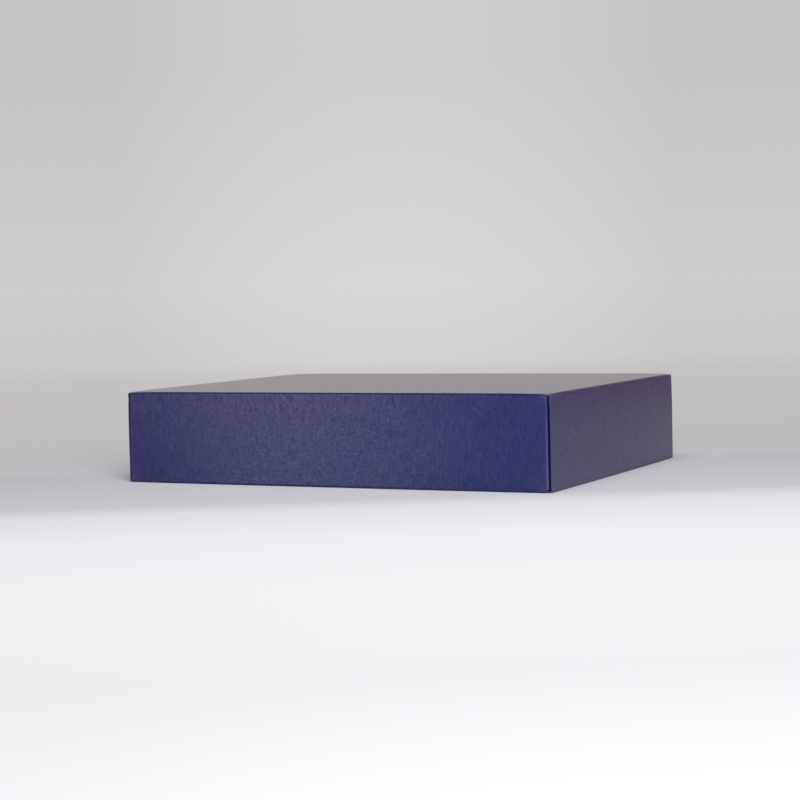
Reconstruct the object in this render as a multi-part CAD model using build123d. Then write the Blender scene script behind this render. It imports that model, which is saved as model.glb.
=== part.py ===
"""A low two-piece gift box of folding board: a base tray and a lid tray that telescopes over
its full depth.

Each tray is one die-cut blank. Its four walls are double: the outer wall stands up from the
main panel, rolls over at the rim and comes back down as the inner wall. Each long wall
carries a tab at both ends. The tab turns the corner and is held between the two skins of the
short wall. Ears on the short inner walls click into notches in the long inner walls, so
nothing is glued. The panels between creases are separate solids that meet face to face.

The origin is at the middle of the underside, +X runs along the length and +Z is up, with the
long front wall at -Y. Lengths are in millimetres.
"""

from build123d import *

import os

# Outer size of the closed box, which is the size of the lid.
box_length = 250.0
box_width = 200.0
box_height = 50.0

# The board, and the creases in it.
board = 0.6
crease_inside = 0.3
crease_outside = crease_inside + board

# A double wall over both skins. A corner tab lies in it, close to the inner skin.
wall_thickness = 3.0
tab_play = 0.2
tab_recess = wall_thickness - 2 * board - tab_play

# Fits between the two trays.
side_clearance = 0.75
lid_to_rim_gap = 0.2
lid_to_table_gap = 0.3

# Corner seam: how far the short outer wall stops short of the long wall's face, at the
# main panel and below the taper.
seam_at_panel = 0.6
seam = 1.15
seam_taper_height = 4.0

# Corner of the main panel, where it reaches out beside the end of the long crease.
panel_corner_reach = 0.5

# Corner tabs.
tab_length = 42.0
tab_taper = 4.0
tab_corner_radius = 5.0
tab_foot_play = 0.2
tab_rim_play = 0.3

# Inner walls: play at their free edge and ends, and the click lock in their lower corners.
inner_foot_play = 0.2
inner_end_play = 0.2
inner_shoulder = 1.0
ear_height = 8.0
ear_play = 0.3

# Play between the rim folds where they meet in a corner.
rim_corner_play = 0.1


class Tray:
    """Sizes of one tray that stands open side up on its main panel, at z = 0."""

    def __init__(self, length, width, depth):
        self.half_length = length / 2
        self.half_width = width / 2
        self.depth = depth
        self.rim_foot = depth - crease_outside
        self.tab_face = self.half_length - tab_recess
        self.long_half_run = self.tab_face - crease_outside
        self.long_rim_half_run = self.half_length - wall_thickness - rim_corner_play
        self.short_half_run = self.half_width - seam


def long_edge(profile, half_run):
    """Stretches a profile drawn across a wall, outward along -Y, over its run along X."""
    return extrude(Plane.YZ * profile, amount=half_run, both=True)


def quarter_turn(centre, radius, start_angle):
    """A quarter of a crease's outline, counter-clockwise from start_angle."""
    return CenterArc(centre, radius, start_angle, 90)


def mirrored_points(right_half):
    """The right half of an outline, from foot to rim, and its mirror image."""
    return right_half + [(-along, height) for along, height in reversed(right_half)]


def outer_wall(face_distance, half_run, tray):
    """The crease at the main panel and the outer skin that rises from it."""
    face = -face_distance
    back = face + board
    bend = (face + crease_outside, crease_outside)
    outline = [
        quarter_turn(bend, crease_outside, 180),
        Line((bend[0], 0), (bend[0], board)),
        quarter_turn(bend, crease_inside, 180),
        Polyline((back, bend[1]), (back, tray.rim_foot), (face, tray.rim_foot), (face, bend[1])),
    ]
    return long_edge(make_face(outline), half_run)


def rim_fold(face_distance, half_run, tray):
    """The narrow strip that rolls the board over from the outer skin to the inner one."""
    face = -face_distance
    inside = face + wall_thickness
    first = (face + crease_outside, tray.rim_foot)
    second = (inside - crease_outside, tray.rim_foot)
    outline = [
        Line((face, tray.rim_foot), (face + board, tray.rim_foot)),
        quarter_turn(first, crease_inside, 90),
        Line((first[0], tray.depth - board), (second[0], tray.depth - board)),
        quarter_turn(second, crease_inside, 0),
        Line((inside - board, tray.rim_foot), (inside, tray.rim_foot)),
        quarter_turn(second, crease_outside, 0),
        Line((second[0], tray.depth), (first[0], tray.depth)),
        quarter_turn(first, crease_outside, 90),
    ]
    return long_edge(make_face(outline), half_run)


def short_outer_wall(tray):
    """An outer wall with ends that taper away from the corners of the main panel."""
    panel_end = tray.half_width - seam_at_panel
    right_half = [
        (panel_end, 0),
        (tray.short_half_run, seam_taper_height),
        (tray.short_half_run, tray.depth),
    ]
    outline = make_face(Polyline(*mirrored_points(right_half), close=True))
    cutter = extrude(Plane.XZ * outline, amount=tray.half_length)
    return outer_wall(tray.half_length, panel_end, tray) & cutter


def inner_skin(outline_points, face_distance):
    """A flat inner wall cut to an outline of (along, height) points, on the -Y side."""
    inner_face = -face_distance + wall_thickness
    outline = make_face(Polyline(*outline_points, close=True))
    return extrude(Plane.XZ.offset(-inner_face) * outline, amount=board)


def long_inner_wall(tray):
    """Runs from tab to tab, with a notch in each lower corner for the short wall's ear."""
    foot = board + inner_foot_play
    end = tray.tab_face - board - inner_end_play
    notch_end = tray.half_length - wall_thickness - inner_end_play
    notch_top = foot + ear_height + ear_play
    shoulder = tray.rim_foot - inner_shoulder
    right_half = [
        (notch_end, foot),
        (notch_end, notch_top),
        (end, notch_top),
        (end, shoulder),
        (tray.long_rim_half_run, shoulder),
        (tray.long_rim_half_run, tray.rim_foot),
    ]
    return inner_skin(mirrored_points(right_half), tray.half_width)


def short_inner_wall(tray):
    """Fits between the long inner walls and locks behind them with an ear at each end."""
    foot = board + inner_foot_play
    end = tray.half_width - wall_thickness - inner_end_play
    ear_end = tray.half_width - board - inner_end_play
    ear_slope = ear_end - end
    right_half = [
        (ear_end - ear_slope, foot),
        (ear_end, foot + ear_slope),
        (ear_end, foot + ear_height),
        (end, foot + ear_height),
        (end, tray.rim_foot),
    ]
    return inner_skin(mirrored_points(right_half), tray.half_length)


def corner_tab(tray):
    """The front right tab: it turns the corner from the front wall and tapers along +Y."""
    foot = board + tab_foot_play
    head = tray.rim_foot - tab_rim_play
    bend = (tray.long_half_run, -tray.half_width + crease_outside)
    ring = [
        quarter_turn(bend, crease_outside, 270),
        Line((bend[0] + crease_inside, bend[1]), (bend[0] + crease_outside, bend[1])),
        quarter_turn(bend, crease_inside, 270),
        Line((bend[0], bend[1] - crease_outside), (bend[0], bend[1] - crease_inside)),
    ]
    turn = extrude(Plane.XY.offset(foot) * make_face(ring), amount=head - foot)
    tip = bend[1] + tab_length
    blade_outline = Polyline(
        (bend[1], foot),
        (tip, foot + tab_taper),
        (tip, head - tab_taper),
        (bend[1], head),
        close=True,
    )
    blade_face = make_face(blade_outline)
    tip_corners = blade_face.vertices().group_by(Axis.X)[-1]
    blade_face = fillet(tip_corners, tab_corner_radius)
    blade = extrude(Plane.YZ.offset(tray.tab_face) * blade_face, amount=-board)
    return turn + blade


def main_panel(tray):
    """The flat panel inside the four creases, with corners that pass the long ones."""
    length = 2 * (tray.half_length - crease_outside)
    width = 2 * (tray.half_width - crease_outside)
    over_corners = width + 2 * panel_corner_reach
    corners = Rectangle(length, over_corners) - Rectangle(2 * tray.long_half_run, over_corners)
    return extrude(Rectangle(length, width) + corners, amount=board)


def tray_pieces(tray, panel_name, near, far):
    """Every panel of one tray by its name. near and far name its long sides at -Y and +Y."""
    long_side = {
        "wall_outer": outer_wall(tray.half_width, tray.long_half_run, tray),
        "rim_fold": rim_fold(tray.half_width, tray.long_rim_half_run, tray),
        "wall_inner": long_inner_wall(tray),
    }
    short_side = {
        "wall_outer": short_outer_wall(tray),
        "rim_fold": rim_fold(tray.half_length, tray.short_half_run, tray),
        "wall_inner": short_inner_wall(tray),
    }
    pieces = {panel_name: main_panel(tray)}
    for kind, piece in long_side.items():
        pieces[f"{near}_{kind}"] = piece
        pieces[f"{far}_{kind}"] = half_turn * piece
    for kind, piece in short_side.items():
        pieces[f"right_{kind}"] = Rot(0, 0, 90) * piece
        pieces[f"left_{kind}"] = Rot(0, 0, -90) * piece
    right_tab = corner_tab(tray)
    left_tab = mirror(right_tab, about=Plane.YZ)
    pieces[f"{near}_right_tab"] = right_tab
    pieces[f"{near}_left_tab"] = left_tab
    pieces[f"{far}_left_tab"] = half_turn * right_tab
    pieces[f"{far}_right_tab"] = half_turn * left_tab
    return pieces


half_turn = Rot(0, 0, 180)
turned_over = Pos(0, 0, box_height) * Rot(180, 0, 0)

lid_tray = Tray(box_length, box_width, box_height - lid_to_table_gap)
step_in = 2 * (wall_thickness + side_clearance)
base_depth = box_height - board - lid_to_rim_gap
base_tray = Tray(box_length - step_in, box_width - step_in, base_depth)

parts = {}
for name, piece in tray_pieces(base_tray, "bottom_panel", "front", "back").items():
    parts[f"base_{name}"] = piece
for name, piece in tray_pieces(lid_tray, "top_panel", "back", "front").items():
    parts[f"lid_{name}"] = turned_over * piece

os.makedirs("parts", exist_ok=True)
for name, piece in parts.items():
    export_step(piece, f"parts/{name}.step")
    print(f"{name}: {piece.volume:.1f} mm3")
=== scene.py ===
"""The looks of a two-piece gift box of folding board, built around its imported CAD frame.

Each panel of the two trays is cut flat out of board, bevelled along its cut edges and then
folded into the place of its CAD node. Lengths are in metres. A tray's own heights run from
the outer face of its main panel to its rim, so the lid's run downwards.
"""

import cmath
import math

import bmesh
import bpy
from mathutils import Matrix, Vector


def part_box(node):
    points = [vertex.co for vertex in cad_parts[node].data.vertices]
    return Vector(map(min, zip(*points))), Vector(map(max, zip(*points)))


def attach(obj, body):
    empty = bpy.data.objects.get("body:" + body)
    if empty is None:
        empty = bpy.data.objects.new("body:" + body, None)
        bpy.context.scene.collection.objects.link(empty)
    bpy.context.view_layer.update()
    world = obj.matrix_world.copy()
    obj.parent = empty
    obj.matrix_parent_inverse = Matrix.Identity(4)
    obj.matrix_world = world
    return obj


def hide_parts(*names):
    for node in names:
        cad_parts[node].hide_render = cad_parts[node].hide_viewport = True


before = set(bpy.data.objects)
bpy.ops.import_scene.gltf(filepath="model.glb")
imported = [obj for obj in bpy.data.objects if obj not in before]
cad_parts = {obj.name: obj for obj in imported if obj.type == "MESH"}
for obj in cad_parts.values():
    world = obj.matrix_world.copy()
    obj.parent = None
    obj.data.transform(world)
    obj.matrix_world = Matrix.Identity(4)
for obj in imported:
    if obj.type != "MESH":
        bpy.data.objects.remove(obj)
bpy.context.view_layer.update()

mm = 0.001

# Die-cut details of the inner walls, which the CAD boxes don't give.
ear_height = 8 * mm
ear_slope = 2.4 * mm
ear_play = 0.3 * mm
inner_end_play = 0.2 * mm
inner_shoulder = 1 * mm
seam_taper_height = 4 * mm
tab_taper = 4 * mm
tab_corner_radius = 5 * mm

# Mesh: steps round a crease and round a tab's corner, spacing of the grid and of its closer
# lines beside an edge, the bevel of a cut edge, the distance within which two lines are one,
# and the angle from which an edge is shaded sharp.
turn_steps = 10
tip_steps = 6
grid_pitch = 10 * mm
fine_steps = (0.5 * mm, 1 * mm, 2 * mm, 3.5 * mm, 6 * mm)
cut_bevel = 0.09 * mm
bevel_segments = 2
snap = 0.004 * mm
sharp_angle = math.radians(35)

# The base's blank lies this far along X from the lid's in the pattern of the grain.
base_blank_shift = 0.5

# Wear and painted highlight: how far the lighter mark reaches from an upright crease, where it
# is wear and a painted highlight, and from a corner of a tray, where it is wear only, and how
# much of the crease's mark is left at the main panel's end, as its painted highlight grows
# towards the rim.
crease_wear_highlight_reach = 0.7 * mm
corner_reach = 3.5 * mm
wear_and_highlight_at_panel = 0.3

# Unevenness of the lid, of which the base has a share: the bow of the short and
# the long walls at the rim, its reach in from a wall's face in wall thicknesses, the crown of
# the main panel, and how far its corners droop, pull in and reach.
end_bow_size = 0.45 * mm
side_bow_size = 1.0 * mm
bow_reach = 3
panel_crown = 0.2 * mm
corner_droop = 0.7 * mm
corner_pull = 0.35 * mm
corner_softness = 6 * mm
base_share = 0.4

# Ribs of the printed face: their spacing in millimetres, how far they wander, their height,
# and how much they show in the shade of colour.
rib_pitch = 1.13
rib_wander = 2.5
rib_height = 0.006 * mm
rib_share = 0.25

# Grain of the board, in cycles per millimetre of the blank, across, along and through it
# where it differs.
fibre_grain = (0.80, 0.46, 1)
gloss_grain = (0.45, 0.17, 1)
cloud_grain = 0.05
speck_grain = 1.1
reverse_grain = (0.5, 1.6, 1)
ply_grain = (1.2, 1.2, 9)
fine_grain = 3.2

# Heights of the grain on the printed face, the reverse and the cut edge.
fibre_height = 0.062 * mm
reverse_height = 0.02 * mm
fine_height = 0.012 * mm
ply_height = 0.03 * mm

# The range that a noise texture mostly fills, and the ones in which speckled wear and the
# shade of the fibres change.
noise_range = (0.3, 0.7)
speck_range = (0.35, 0.65)
shade_range = (0.42, 0.58 + rib_share)

# Shine: the index of each face, roughness from the low to the high of its grain, what wear
# and the painted crease highlight add to it, and the specular level from the low to the high
# of the gloss.
printed_ior = 1.46
reverse_ior = 1.45
printed_rough = (0.25, 0.19)
reverse_rough = (0.72, 0.86)
cut_rough = (0.7, 0.9)
wear_and_highlight_rough = 0.2
gloss_span = (0.32, 0.68)

# The share of the lighter mark that shows between and on the specks: on a crease, where it is
# wear and a painted highlight, and at a corner, where it is wear.
crease_specks = (0.45, 1.0)
corner_specks = (0.1, 0.9)

# The most that the slow mottling takes of the greyer navy.
cloud_share = 0.3

# Board colours, linear.
navy = (0.0100, 0.0150, 0.118)
navy_deep = (0.0050, 0.0080, 0.070)
navy_grey = (0.0170, 0.0190, 0.088)
# The lighter navy of worn corners, and of the upright creases, where it is wear and also a
# painted highlight.
navy_wear_and_highlight = (0.110, 0.105, 0.240)
navy_core = (0.085, 0.080, 0.185)
navy_reverse = (0.026, 0.030, 0.100)


class Fold:
    """The line of a sheet's printed face across its creases, as stretches of length and turn
    radius, zero where straight. Every crease turns the sheet towards its reverse side."""

    def __init__(self, start, stretches):
        self.start = start
        self.stretches = stretches
        self.marks = [0.0]
        for length, radius in stretches:
            self.marks.append(self.marks[-1] + length)

    def point(self, along, below):
        """Where a point goes that lies along the fold and below the printed face."""
        place = self.start
        heading = 1 + 0j
        left = along
        for number, (length, radius) in enumerate(self.stretches):
            is_last = number == len(self.stretches) - 1
            step = left if is_last else min(left, length)
            if radius:
                centre = place + 1j * heading * radius
                turn = cmath.exp(1j * step / radius)
                place = centre - 1j * heading * turn * radius
                heading *= turn
            else:
                place += heading * step
            left -= step
            if left <= 0:
                break
        return place + 1j * heading * below

    def rows(self, first, last):
        """Where the sheet needs a grid line, from one mark to another."""
        found = []
        for number in range(first, last):
            start = self.marks[number]
            length, radius = self.stretches[number]
            if radius:
                found += [start + length * step / turn_steps for step in range(1, turn_steps)]
            else:
                found += graded(start, start + length)
            found.append(start + length)
        return found[:-1]


def graded(start, end):
    """Grid lines between two edges, closer together beside them."""
    length = end - start
    steps = [step for step in fine_steps if step < length / 3]
    near = steps[-1] if steps else 0.0
    inner = length - 2 * near
    count = max(1, round(inner / grid_pitch))
    regular = [start + near + inner * number / count for number in range(count + 1)]
    graded_lines = [start + step for step in steps[:-1]] + regular
    graded_lines += [end - step for step in reversed(steps[:-1])]
    return [line for line in graded_lines if start + snap < line < end - snap]


def quarter(radius):
    """A crease that turns the sheet by a right angle."""
    return (radius * math.pi / 2, radius)


def straight(length):
    """A flat stretch between creases."""
    return (length, 0.0)


class Tray:
    """Sizes of one tray, read from its CAD nodes."""

    def __init__(self, name, panel, slot):
        self.name = name
        self.slot = slot
        self.panel_node = f"{name}_{panel}"
        panel_low, panel_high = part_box(self.panel_node)
        long_low, long_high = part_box(f"{name}_front_wall_outer")
        short_low, short_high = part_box(f"{name}_right_wall_outer")
        rim_low, rim_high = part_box(f"{name}_front_rim_fold")
        inner_low, inner_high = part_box(f"{name}_front_wall_inner")
        tab_low, tab_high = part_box(f"{name}_front_right_tab")
        self.is_lid = rim_low.z < panel_low.z
        self.floor_z = panel_high.z if self.is_lid else panel_low.z
        self.board = panel_high.z - panel_low.z
        self.crease = long_high.y - long_low.y
        self.wall = rim_high.y - rim_low.y
        self.half_length = short_high.x
        self.half_width = -long_low.y
        self.depth = max(self.height(rim_low.z), self.height(rim_high.z))
        self.rim_foot = self.depth - self.crease
        self.long_run = long_high.x
        self.long_rim_run = rim_high.x
        self.short_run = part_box(f"{name}_right_rim_fold")[1].y
        self.seam_at_panel = self.half_width - short_high.y
        self.panel_corner = panel_high.y
        self.inner_foot = min(self.height(inner_low.z), self.height(inner_high.z))
        self.inner_end = inner_high.x
        self.tab_heights = sorted((self.height(tab_low.z), self.height(tab_high.z)))
        self.tab_length = tab_high.y - (tab_low.y + self.crease)
        self.wall_fold = self.make_wall_fold()
        self.tab_fold = Fold(
            complex(self.long_run, 0), [quarter(self.crease), straight(self.tab_length)]
        )

    def height(self, z):
        """Height in the tray of a level in the box, or the other way round."""
        return self.floor_z - z if self.is_lid else z - self.floor_z

    def level(self, height):
        """Level in the box of a height in the tray."""
        return self.floor_z - height if self.is_lid else self.floor_z + height

    def make_wall_fold(self):
        """From the main panel's edge up the outer skin, over the rim and down the inner one.
        It is drawn inward from the wall's face, so one fold serves long and short walls."""
        return Fold(
            complex(-self.crease, 0),
            [
                quarter(self.crease),
                straight(self.rim_foot - self.crease),
                quarter(self.crease),
                straight(self.wall - 2 * self.crease),
                quarter(self.crease),
                straight(self.rim_foot - self.inner_foot),
            ],
        )


def mirrored(right_half):
    """An outline's right half and its mirror image."""
    return right_half + [(-across, along) for across, along in reversed(right_half)]


def is_cut(edge, joined_rows, joined_columns):
    """True for an edge of the slab's two faces that the die has cut, and no crease borders."""
    first, second = (vert.co for vert in edge.verts)
    if len(edge.link_faces) != 2 or abs(first.z - second.z) > snap:
        return False
    steep = [abs(face.normal.z) < 0.5 for face in edge.link_faces]
    if steep[0] == steep[1]:
        return False
    for axis, borders in ((1, joined_rows), (0, joined_columns)):
        for border in borders:
            if abs(first[axis] - border) < snap and abs(second[axis] - border) < snap:
                return False
    return True


def cut_sheet(outline, columns, rows, board, joined_rows=(), joined_columns=()):
    """A flat slab of board with this outline, with grid lines where it has to bend."""
    sheet = bmesh.new()
    sheet.faces.new([sheet.verts.new((across, along, 0)) for across, along in outline])
    for axis, lines in ((0, columns), (1, rows)):
        normal = Vector((axis == 0, axis == 1, 0))
        for line in lines:
            everything = sheet.verts[:] + sheet.edges[:] + sheet.faces[:]
            bmesh.ops.bisect_plane(
                sheet, geom=everything, dist=snap, plane_co=normal * line, plane_no=normal
            )
    raised = bmesh.ops.extrude_face_region(sheet, geom=sheet.faces[:], use_keep_orig=True)
    top = [item for item in raised["geom"] if isinstance(item, bmesh.types.BMVert)]
    bmesh.ops.translate(sheet, verts=top, vec=(0, 0, board))
    bmesh.ops.recalc_face_normals(sheet, faces=sheet.faces[:])
    cut_edges = [edge for edge in sheet.edges if is_cut(edge, joined_rows, joined_columns)]
    bmesh.ops.bevel(
        sheet,
        geom=cut_edges,
        offset=cut_bevel,
        segments=bevel_segments,
        profile=0.5,
        affect="EDGES",
    )
    return sheet


def box_wear_and_highlight(tray, x, y, height):
    """How much of the lighter mark a point takes by an upright crease, where it is wear and a
    painted highlight, and by a corner of its tray, where it is wear, from 0 to 1.
    """
    crest = tray.crease * math.sin(math.pi / 4)
    from_crease = math.hypot(
        abs(x) - tray.long_run - crest, abs(y) - tray.half_width + tray.crease - crest
    )
    from_corner = math.hypot(
        tray.half_length - abs(x), tray.half_width - abs(y), min(height, tray.depth - height)
    )
    # The crease's painted highlight grows from the main panel towards the rim.
    rise = wear_and_highlight_at_panel + (1 - wear_and_highlight_at_panel) * height / tray.depth
    crease_wear_and_highlight = math.exp(-((from_crease / crease_wear_highlight_reach) ** 2)) * rise
    return crease_wear_and_highlight, math.exp(-from_corner / corner_reach)


def hump(value, reach):
    """Falls smoothly from 1 at zero to 0 at the reach."""
    part = min(1.0, abs(value) / reach)
    return 1 - part * part * (3 - 2 * part)


def uneven(tray, x, y, height):
    """Moves a point as the board's spring and the soft corners do. Only the lid's panel
    crowns, because the base stands on its own."""
    strength = 1.0 if tray.is_lid else base_share
    to_end = tray.half_length - abs(x)
    to_side = tray.half_width - abs(y)
    across = 1 - (x / tray.half_length) ** 4
    along = 1 - (y / tray.half_width) ** 2
    rise = height / tray.depth
    band = bow_reach * tray.wall
    end_bow = end_bow_size * along * rise * hump(to_end, band)
    side_bow = side_bow_size * across * rise * rise * hump(to_side, band)
    crown = panel_crown * across * along * hump(height, band) if tray.is_lid else 0.0
    corner = math.exp(-max(0.0, to_end) / corner_softness)
    corner *= math.exp(-max(0.0, to_side) / corner_softness)
    corner *= hump(height, 2 * corner_softness)
    outward_x = strength * (end_bow - corner_pull * corner)
    outward_y = strength * (side_bow - corner_pull * corner)
    drop = strength * (corner_droop * corner - crown)
    return (
        x + math.copysign(1, x) * outward_x,
        y + math.copysign(1, y) * outward_y,
        height + drop,
    )


def give_materials(tray, sheet):
    """Numbers the faces of a flat sheet: 0 is printed, 1 the reverse and 2 a cut edge."""
    for face in sheet.faces:
        is_flat = abs(face.normal.z) > 0.99
        is_reverse = face.calc_center_median().z > tray.board / 2
        face.material_index = (1 if is_reverse else 0) if is_flat else 2
        face.smooth = True


def fold_sheet(tray, sheet, place, spread):
    """Moves a sheet's points from the flat to their place in the box, and keeps on each its
    place on the blank and its wear and painted crease highlight for the materials."""
    blank = sheet.verts.layers.float_vector.new("blank")
    wear = sheet.verts.layers.float_vector.new("wear")
    blank_shift = 0.0 if tray.is_lid else base_blank_shift
    for vert in sheet.verts:
        across, along, below = vert.co
        flat_x, flat_y = spread(across, along)
        vert[blank] = (flat_x + blank_shift, flat_y, below)
        x, y, height = place(across, along, below)
        vert[wear] = (*box_wear_and_highlight(tray, x, y, height), 0)
        x, y, height = uneven(tray, x, y, height)
        vert.co = (x, y, tray.level(height))
    bmesh.ops.recalc_face_normals(sheet, faces=sheet.faces[:])


def build_piece(tray, node, sheet, place, spread):
    """Makes a node's piece of a flat sheet: place gives its points (x, y, height) in the
    tray, and spread gives them (x, y) on the flat blank."""
    give_materials(tray, sheet)
    fold_sheet(tray, sheet, place, spread)
    mesh = bpy.data.meshes.new(f"{node}_board")
    sheet.to_mesh(mesh)
    sheet.free()
    mesh.set_sharp_from_angle(angle=sharp_angle)
    piece = bpy.data.objects.new(f"{node}_board", mesh)
    bpy.context.scene.collection.objects.link(piece)
    for material in board_materials[tray.slot]:
        mesh.materials.append(material)
    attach(piece, "lid" if tray.is_lid else "base")
    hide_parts(node)


def main_panel(tray):
    """The flat panel, whose corners reach out past the ends of the long creases."""
    end = tray.half_length - tray.crease
    side = tray.half_width - tray.crease
    right_half = [
        (tray.long_run, -side),
        (tray.long_run, -tray.panel_corner),
        (end, -tray.panel_corner),
        (end, tray.panel_corner),
        (tray.long_run, tray.panel_corner),
        (tray.long_run, side),
    ]
    sheet = cut_sheet(
        mirrored(right_half),
        graded(-tray.long_run, tray.long_run) + [-tray.long_run, tray.long_run],
        graded(-side, side) + [-side, side],
        tray.board,
        joined_rows=(-side, side),
        joined_columns=(-end, end),
    )
    build_piece(
        tray,
        tray.panel_node,
        sheet,
        lambda across, along, below: (across, along, below),
        lambda across, along: (across, along),
    )


def long_wall_place(tray, side):
    """Places a long wall's sheet. side is -1 for the front and 1 for the back."""

    def place(across, along, below):
        point = tray.wall_fold.point(along, below)
        return across, side * (tray.half_width + point.real), point.imag

    def spread(across, along):
        return across, side * (tray.half_width - tray.crease + along)

    return place, spread


def short_wall_place(tray, side):
    """Places a short wall's sheet. side is -1 for the left and 1 for the right."""

    def place(across, along, below):
        point = tray.wall_fold.point(along, below)
        return side * (tray.half_length + point.real), across, point.imag

    def spread(across, along):
        return side * (tray.half_length - tray.crease + along), across

    return place, spread


def wall_panels(tray, side_name, placing, outlines, column_borders, joined_columns):
    """The outer wall, rim fold and inner wall of one side."""
    place, spread = placing
    marks = tray.wall_fold.marks
    spans = {"wall_outer": (0, 2), "rim_fold": (2, 5), "wall_inner": (5, 6)}
    for kind, (first, last) in spans.items():
        outline = outlines[kind]
        widest = max(across for across, along in outline)
        columns = graded(-widest, widest)
        for border in column_borders.get(kind, ()):
            columns += [-border, border]
        joined_rows = [marks[first]]
        if kind != "wall_inner":
            joined_rows.append(marks[last])
        sheet = cut_sheet(
            outline,
            columns,
            tray.wall_fold.rows(first, last),
            tray.board,
            joined_rows,
            joined_columns.get(kind, ()),
        )
        build_piece(tray, f"{tray.name}_{side_name}_{kind}", sheet, place, spread)


def long_side(tray, side_name, side):
    """A long wall. Its inner skin is notched for the ears of the short ones."""
    marks = tray.wall_fold.marks
    run = tray.long_run
    rim_run = tray.long_rim_run
    foot = marks[6]
    notch_end = tray.half_length - tray.wall - inner_end_play
    notch_top = foot - ear_height - ear_play
    shoulder = marks[5] + inner_shoulder
    outlines = {
        "wall_outer": mirrored([(run, marks[0]), (run, marks[2])]),
        "rim_fold": mirrored([(rim_run, marks[2]), (rim_run, marks[5])]),
        "wall_inner": mirrored(
            [
                (rim_run, marks[5]),
                (rim_run, shoulder),
                (tray.inner_end, shoulder),
                (tray.inner_end, notch_top),
                (notch_end, notch_top),
                (notch_end, foot),
            ]
        ),
    }
    wall_panels(
        tray,
        side_name,
        long_wall_place(tray, side),
        outlines,
        {"wall_inner": (rim_run, notch_end)},
        {"wall_outer": (-run, run)},
    )


def short_side(tray, side_name, side):
    """A short wall. It tapers away from the main panel's corners and ends in two ears."""
    marks = tray.wall_fold.marks
    run = tray.short_run
    panel_end = tray.half_width - tray.seam_at_panel
    taper_end = marks[1] + seam_taper_height - tray.crease
    foot = marks[6]
    end = tray.half_width - tray.wall - inner_end_play
    ear_end = end + ear_slope
    ear_top = foot - ear_height
    outlines = {
        "wall_outer": mirrored([(panel_end, 0), (run, taper_end), (run, marks[2])]),
        "rim_fold": mirrored([(run, marks[2]), (run, marks[5])]),
        "wall_inner": mirrored(
            [
                (end, marks[5]),
                (end, ear_top),
                (ear_end, ear_top),
                (ear_end, foot - ear_slope),
                (end, foot),
            ]
        ),
    }
    wall_panels(
        tray, side_name, short_wall_place(tray, side), outlines, {"wall_inner": (end,)}, {}
    )


def rounded_tip(length, low, high):
    """The tapered end of a corner tab with its two rounded corners."""
    turns = [math.radians(90 * step / tip_steps) for step in range(tip_steps + 1)]
    tip = []
    for edge, side in ((low + tab_taper, -1), (high - tab_taper, 1)):
        centre = edge - side * tab_corner_radius
        for turn in turns if side < 0 else reversed(turns):
            height = centre + side * tab_corner_radius * math.cos(turn)
            along = length - tab_corner_radius + tab_corner_radius * math.sin(turn)
            tip.append((height, along))
    return tip


def corner_tab(tray, side_name, side, end_name, end):
    """The tab that turns the corner from a long wall and lies in the short one."""
    low, high = tray.tab_heights
    marks = tray.tab_fold.marks
    outline = [(low, 0), (low, marks[1])]
    outline += rounded_tip(marks[2], low, high)
    outline += [(high, marks[1]), (high, 0)]
    sheet = cut_sheet(
        outline,
        graded(low, high),
        tray.tab_fold.rows(0, 2),
        tray.board,
        joined_rows=(0.0,),
    )

    def place(height, along, below):
        point = tray.tab_fold.point(along, below)
        return end * point.real, side * (tray.half_width - point.imag), height

    def spread(height, along):
        rise = tray.wall_fold.marks[1] + height - tray.crease
        return end * (tray.long_run + along), side * (tray.half_width - tray.crease + rise)

    build_piece(tray, f"{tray.name}_{side_name}_{end_name}_tab", sheet, place, spread)


def build_tray(tray):
    """Every panel of one tray."""
    main_panel(tray)
    for side_name, side in (("front", -1), ("back", 1)):
        long_side(tray, side_name, side)
        for end_name, end in (("left", -1), ("right", 1)):
            corner_tab(tray, side_name, side, end_name, end)
    for end_name, end in (("left", -1), ("right", 1)):
        short_side(tray, end_name, end)


# The spacing of a wave texture's bands at a scale of 1.
wave_unit = 2 * math.pi / 20


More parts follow.
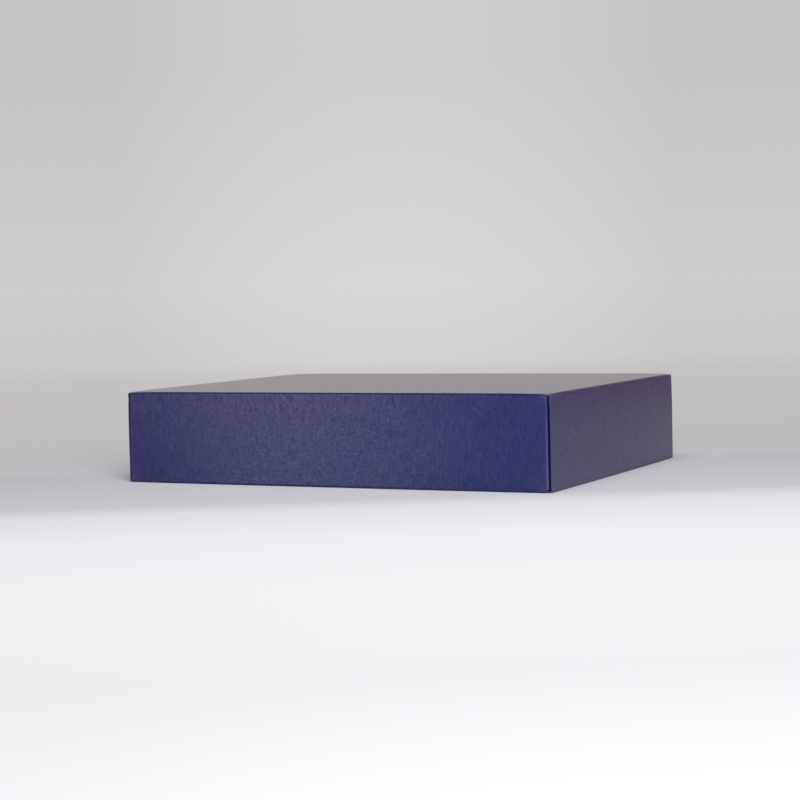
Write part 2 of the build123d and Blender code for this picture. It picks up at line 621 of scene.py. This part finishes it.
class Shader:
    """Adds nodes to a tree, each call making one and linking what it is given."""

    def __init__(self, tree):
        self.tree = tree

    def node(self, kind, inputs=None, **settings):
        made = self.tree.nodes.new(kind)
        for name, value in settings.items():
            setattr(made, name, value)
        for name, value in (inputs or {}).items():
            self.set(made.inputs[name], value)
        return made

    def set(self, socket, value):
        if isinstance(value, bpy.types.NodeSocket):
            self.tree.links.new(value, socket)
        else:
            socket.default_value = value

    def attribute(self, name):
        return self.node("ShaderNodeAttribute", attribute_name=name).outputs["Vector"]

    def scaled(self, vector, scale):
        return self.node("ShaderNodeMapping", {"Vector": vector, "Scale": scale}).outputs[0]

    def noise(self, vector, scale=1.0, detail=2.0, roughness=0.5):
        inputs = {"Vector": vector, "Scale": scale, "Detail": detail, "Roughness": roughness}
        return self.node("ShaderNodeTexNoise", inputs).outputs["Fac"]

    def waves(self, vector, pitch, distortion):
        inputs = {
            "Vector": vector,
            "Scale": wave_unit / pitch,
            "Distortion": distortion,
            "Detail": 2.0,
            "Detail Scale": 0.5,
            "Detail Roughness": 0.6,
        }
        return self.node("ShaderNodeTexWave", inputs).outputs["Fac"]

    def span(self, value, old=noise_range, new=(0.0, 1.0)):
        """Carries a value from an old range to a new one, and stops at its ends."""
        inputs = {
            "Value": value,
            "From Min": old[0],
            "From Max": old[1],
            "To Min": new[0],
            "To Max": new[1],
        }
        return self.node("ShaderNodeMapRange", inputs).outputs["Result"]

    def math(self, operation, first, second):
        inputs = {0: first, 1: second}
        return self.node("ShaderNodeMath", inputs, operation=operation).outputs[0]

    def along(self, vector, direction):
        inputs = {0: vector, 1: direction}
        made = self.node("ShaderNodeVectorMath", inputs, operation="DOT_PRODUCT")
        return made.outputs["Value"]

    def mix(self, share, first, second):
        made = self.node("ShaderNodeMix", data_type="RGBA")
        share_socket = made.inputs[0]
        colour_sockets = [socket for socket in made.inputs if socket.type == "RGBA"]
        self.set(share_socket, share)
        for socket, colour in zip(colour_sockets, (first, second)):
            self.set(socket, (*colour, 1) if isinstance(colour, tuple) else colour)
        return next(socket for socket in made.outputs if socket.type == "RGBA")

    def bump(self, height, distance, normal=None):
        made = self.node("ShaderNodeBump", {"Height": height, "Distance": distance})
        if normal is not None:
            self.set(made.inputs["Normal"], normal)
        return made.outputs["Normal"]


def new_material(name):
    """A material, a builder for its nodes and the sockets of its surface."""
    material = bpy.data.materials.new(name)
    material.use_nodes = True
    surface = material.node_tree.nodes["Principled BSDF"]
    return material, Shader(material.node_tree), surface.inputs


def blank_in_millimetres(shader):
    return shader.scaled(shader.attribute("blank"), (1000, 1000, 1000))


def wear_and_highlight_share(shader, blank):
    """Speckled wear and painted highlight on the upright creases, and speckled wear at the
    corners.
    """
    wear = shader.node("ShaderNodeSeparateXYZ", {0: shader.attribute("wear")}).outputs
    speck = shader.noise(blank, speck_grain, 4.0, 0.7)
    on_crease = shader.span(speck, noise_range, crease_specks)
    at_corner = shader.span(speck, speck_range, corner_specks)
    crease = shader.math("MULTIPLY", wear["X"], on_crease)
    corner = shader.math("MULTIPLY", wear["Y"], at_corner)
    return shader.math("MAXIMUM", crease, corner)


def printed_board(name):
    """The satin outer face, with ribs along the blank's Y, paper fibres and slow mottling."""
    material, shader, surface = new_material(name)
    blank = blank_in_millimetres(shader)
    ribs = shader.waves(blank, rib_pitch, rib_wander)
    fibres = shader.noise(shader.scaled(blank, fibre_grain), 1.0, 3.0, 0.65)
    gloss = shader.noise(shader.scaled(blank, gloss_grain), 1.0, 3.0, 0.7)
    clouds = shader.noise(blank, cloud_grain)
    relief = shader.math("ADD", shader.math("MULTIPLY", ribs, rib_share), fibres)
    colour = shader.mix(shader.span(relief, shade_range), navy_deep, navy)
    mottle = shader.span(clouds, noise_range, (0.0, cloud_share))
    colour = shader.mix(mottle, colour, navy_grey)
    # The lighter navy paints a highlight along the upright creases, on top of wear there and
    # at the corners.
    worn_and_highlit = wear_and_highlight_share(shader, blank)
    surface["IOR"].default_value = printed_ior
    shader.set(surface["Base Color"], shader.mix(worn_and_highlit, colour, navy_wear_and_highlight))
    rough = shader.span(fibres, noise_range, printed_rough)
    added = shader.math("MULTIPLY", worn_and_highlit, wear_and_highlight_rough)
    shader.set(surface["Roughness"], shader.math("ADD", rough, added))
    shader.set(surface["Specular IOR Level"], shader.span(gloss, noise_range, gloss_span))
    ribbed = shader.bump(ribs, rib_height)
    shader.set(surface["Normal"], shader.bump(fibres, fibre_height, ribbed))
    return material


def reverse_board(name):
    """The plain, matt reverse face of the board."""
    material, shader, surface = new_material(name)
    blank = blank_in_millimetres(shader)
    fibres = shader.noise(shader.scaled(blank, reverse_grain), 1.0, 4.0, 0.65)
    grain = shader.noise(blank, fine_grain, 3.0, 0.6)
    surface["IOR"].default_value = reverse_ior
    shader.set(surface["Base Color"], shader.mix(shader.span(fibres), navy, navy_reverse))
    shader.set(surface["Roughness"], shader.span(grain, noise_range, reverse_rough))
    fibrous = shader.bump(fibres, reverse_height)
    shader.set(surface["Normal"], shader.bump(grain, fine_height, fibrous))
    return material


def cut_board(name):
    """The die-cut edge, where the layers and fibres of the core show."""
    material, shader, surface = new_material(name)
    blank = blank_in_millimetres(shader)
    plies = shader.noise(shader.scaled(blank, ply_grain), 1.0, 3.0, 0.6)
    grain = shader.noise(blank, fine_grain, 3.0, 0.6)
    shader.set(surface["Base Color"], shader.mix(shader.span(plies), navy_reverse, navy_core))
    shader.set(surface["Roughness"], shader.span(grain, noise_range, cut_rough))
    shader.set(surface["Normal"], shader.bump(plies, ply_height))
    return material


# Camera, from the vanishing lines and corners of the photographed box.
camera_place = Vector((0.4776, -1.0092, 0.1061))
camera_yaw = math.radians(-25.577)
camera_pitch = math.radians(3.390)
camera_roll = math.radians(-1.294)
camera_lens = 88.087
camera_sensor = 36

# The camera's heading and its level right, both horizontal.
camera_heading = Vector((math.sin(camera_yaw), math.cos(camera_yaw), 0))
camera_level = Vector((math.cos(camera_yaw), -math.sin(camera_yaw), 0))


def make_camera():
    """A camera that stands, looks and leans as the photograph's did."""
    down = Vector((0, 0, -math.sin(camera_pitch)))
    forward = camera_heading * math.cos(camera_pitch) + down
    above = camera_level.cross(forward)
    right = math.cos(camera_roll) * camera_level + math.sin(camera_roll) * above
    up = math.cos(camera_roll) * above - math.sin(camera_roll) * camera_level
    data = bpy.data.cameras.new("camera")
    data.lens = camera_lens
    data.sensor_width = camera_sensor
    data.clip_start = 10 * mm
    camera = bpy.data.objects.new("camera", data)
    turn = Matrix((right, up, -forward)).transposed()
    camera.matrix_world = Matrix.Translation(camera_place) @ turn.to_4x4()
    bpy.context.scene.collection.objects.link(camera)
    bpy.context.scene.camera = camera


# The way the floor recedes, turned a little from the camera's heading, and its tones, linear,
# by their distance from the camera that way. They are partly the floor's pale colour and
# partly
# painted light and shade: the darker step after 0.93 and the band to 1.28 are a painted shadow
# of the box, and the rise beyond is painted light.
floor_turn = 0.10
floor_heading = camera_heading - floor_turn * camera_level
floor_tone_and_light_stops = (
    (0.525, (0.59, 0.59, 0.61)),
    (0.70, (0.77, 0.77, 0.79)),
    (0.83, (0.85, 0.85, 0.89)),
    (0.93, (0.83, 0.84, 0.88)),
    (0.965, (0.66, 0.67, 0.71)),
    (1.13, (0.64, 0.64, 0.68)),
    (1.17, (0.69, 0.70, 0.72)),
    (1.28, (0.72, 0.71, 0.72)),
    (1.50, (0.85, 0.83, 0.83)),
    (1.80, (0.94, 0.91, 0.91)),
)
floor_ramp_reach = 4.0

# The distances from the box between which the floor fades into the backdrop, the radius and
# sides of its disc, and its roughness and specular level.
floor_fade = (0.55, 1.6)
floor_reach = 1.7
floor_segments = 96
floor_rough = 0.8
floor_shine = 0.1

# Backdrop tones, linear: where it meets the floor, at the camera's level and higher up, with
# the rises between which they change.
backdrop_foot = (0.575, 0.552, 0.552)
backdrop_low = (0.645, 0.630, 0.632)
backdrop_high = (0.590, 0.575, 0.572)
foot_rises = (-0.09, 0.0)
high_rises = (0.0, 0.11)

# The backdrop's pool of light: the squares of the shares aside between which it ends, and its
# strength in the middle and at the sides of the picture.
pool_edge = (0.0, 0.019)
pool_strength = (1.07, 0.96)

# The room around the box: the pale backdrop behind it, a darker side at the right, a dim
# room in front, a floor and a ceiling.
room_behind = (0.675, 0.628, 0.571)
room_right = (0.57, 0.38, 0.33)
room_front = (0.08, 0.08, 0.09)
room_floor = (0.24, 0.06, 0.12)
room_ceiling = (0.3, 0.3, 0.3)

# The shares of a direction that lead behind, aside and up, between which the room changes.
behind_range = (-0.2, 0.3)
right_range = (0.1, 0.6)
floor_range = (-0.02, 0.0)
ceiling_range = (0.2, 0.6)

# The room's strength as a fill on matt surfaces, and in glossy ones.
room_strength = (0.04, 1.0)

# A broad soft light from above and in front, and its spread in degrees.
sky_towards = (-0.16, 0.36, -0.92)
sky_spread = 55
sky_strength = 1.65

# Soft lamps: where each stands from the middle of the box, its width and height, and power.
# The key only lights, and the strip only shows as a highlight.
key_place = Vector((0.60, -0.95, 0.55))
key_size = (0.5, 0.5)
key_power = 10.6
strip_place = Vector((-0.70, -1.36, 0.09))
strip_size = (0.30, 0.20)
strip_power = 0.98


def floor_tone_and_light(shader, place):
    """The floor's colour by its distance from the camera, with painted light and shade in it.
    """
    start = floor_heading.dot(camera_place)
    reach = (start, start + floor_ramp_reach)
    share = shader.span(shader.along(place, floor_heading), reach)
    ramp = shader.node("ShaderNodeValToRGB", {"Fac": share})
    stops = ramp.color_ramp.elements
    for number, (distance, tone) in enumerate(floor_tone_and_light_stops):
        stop = stops[number] if number < 2 else stops.new(1.0)
        stop.position = distance / floor_ramp_reach
        stop.color = (*tone, 1)
    return ramp.outputs["Color"]


def floor_material():
    """A matt surface that fades out with its distance from the box."""
    material, shader, surface = new_material("floor")
    place = shader.node("ShaderNodeTexCoord").outputs["Object"]
    shader.set(surface["Base Color"], floor_tone_and_light(shader, place))
    surface["Roughness"].default_value = floor_rough
    surface["Specular IOR Level"].default_value = floor_shine
    distance = shader.node("ShaderNodeVectorMath", {0: place}, operation="LENGTH")
    fade = shader.span(distance.outputs["Value"], floor_fade)
    solid = material.node_tree.nodes["Principled BSDF"].outputs[0]
    clear = shader.node("ShaderNodeBsdfTransparent").outputs[0]
    faded = shader.node("ShaderNodeMixShader", {0: fade, 1: solid, 2: clear})
    output = material.node_tree.nodes["Material Output"]
    shader.set(output.inputs["Surface"], faded.outputs[0])
    return material


def make_floor():
    """A round floor, centred on the box."""
    mesh = bpy.data.meshes.new("floor")
    sheet = bmesh.new()
    bmesh.ops.create_circle(sheet, cap_ends=True, segments=floor_segments, radius=floor_reach)
    sheet.to_mesh(mesh)
    sheet.free()
    floor = bpy.data.objects.new("floor", mesh)
    bpy.context.scene.collection.objects.link(floor)
    mesh.materials.append(floor_material())


def backdrop_colour(shader, rise, aside):
    """The backdrop as the camera sees it, with its pool of light."""
    low = shader.mix(shader.span(rise, foot_rises), backdrop_foot, backdrop_low)
    backdrop = shader.mix(shader.span(rise, high_rises), low, backdrop_high)
    squared = shader.math("MULTIPLY", aside, aside)
    pool = shader.node("ShaderNodeVectorMath", {0: backdrop}, operation="SCALE")
    shader.set(pool.inputs["Scale"], shader.span(squared, pool_edge, pool_strength))
    return pool.outputs[0]


def room_colour(shader, direction, rise, aside):
    """The room as the box mirrors it."""
    behind = shader.span(shader.along(direction, camera_heading), behind_range)
    room = shader.mix(behind, room_front, room_behind)
    room = shader.mix(shader.span(aside, right_range), room, room_right)
    room = shader.mix(shader.span(rise, floor_range), room_floor, room)
    return shader.mix(shader.span(rise, ceiling_range), room, room_ceiling)


def make_world():
    """The backdrop for the camera, and the room for what the surfaces receive."""
    world = bpy.data.worlds.new("studio")
    bpy.context.scene.world = world
    world.use_nodes = True
    shader = Shader(world.node_tree)
    background = world.node_tree.nodes["Background"].inputs
    direction = shader.node("ShaderNodeTexCoord").outputs["Generated"]
    rise = shader.node("ShaderNodeSeparateXYZ", {0: direction}).outputs["Z"]
    aside = shader.along(direction, camera_level)
    backdrop = backdrop_colour(shader, rise, aside)
    room = room_colour(shader, direction, rise, aside)
    ray = shader.node("ShaderNodeLightPath").outputs
    shader.set(background["Color"], shader.mix(ray["Is Camera Ray"], room, backdrop))
    shines = shader.math("MAXIMUM", ray["Is Glossy Ray"], ray["Is Transmission Ray"])
    strength = shader.span(shines, (0.0, 1.0), room_strength)
    strength = shader.math("MAXIMUM", strength, ray["Is Camera Ray"])
    shader.set(background["Strength"], strength)


def make_sky():
    """A far light, the same all over the floor, that no surface mirrors."""
    data = bpy.data.lights.new("sky", "SUN")
    data.energy = sky_strength
    data.angle = math.radians(sky_spread)
    lamp = bpy.data.objects.new("sky", data)
    lamp.rotation_euler = Vector(sky_towards).to_track_quat("-Z", "Y").to_euler()
    lamp.visible_glossy = False
    bpy.context.scene.collection.objects.link(lamp)


def make_soft_lamp(name, place, size, power):
    """A softbox that faces the box."""
    data = bpy.data.lights.new(name, "AREA")
    data.shape = "RECTANGLE"
    data.size, data.size_y = size
    data.energy = power
    lamp = bpy.data.objects.new(name, data)
    lamp.location = place
    lamp.rotation_euler = (-place).to_track_quat("-Z", "Y").to_euler()
    bpy.context.scene.collection.objects.link(lamp)
    return lamp


board_materials = {
    slot: (
        printed_board(f"{slot}_printed"),
        reverse_board(f"{slot}_reverse"),
        cut_board(f"{slot}_cut_edge"),
    )
    for slot in ("lid_board", "base_board")
}
build_tray(Tray("lid", "top_panel", "lid_board"))
build_tray(Tray("base", "bottom_panel", "base_board"))

make_camera()
make_floor()
make_world()
make_sky()
key = make_soft_lamp("key", key_place, key_size, key_power)
key.visible_glossy = False
strip = make_soft_lamp("strip", strip_place, strip_size, strip_power)
strip.visible_diffuse = False
bpy.context.scene.view_settings.view_transform = "Standard"
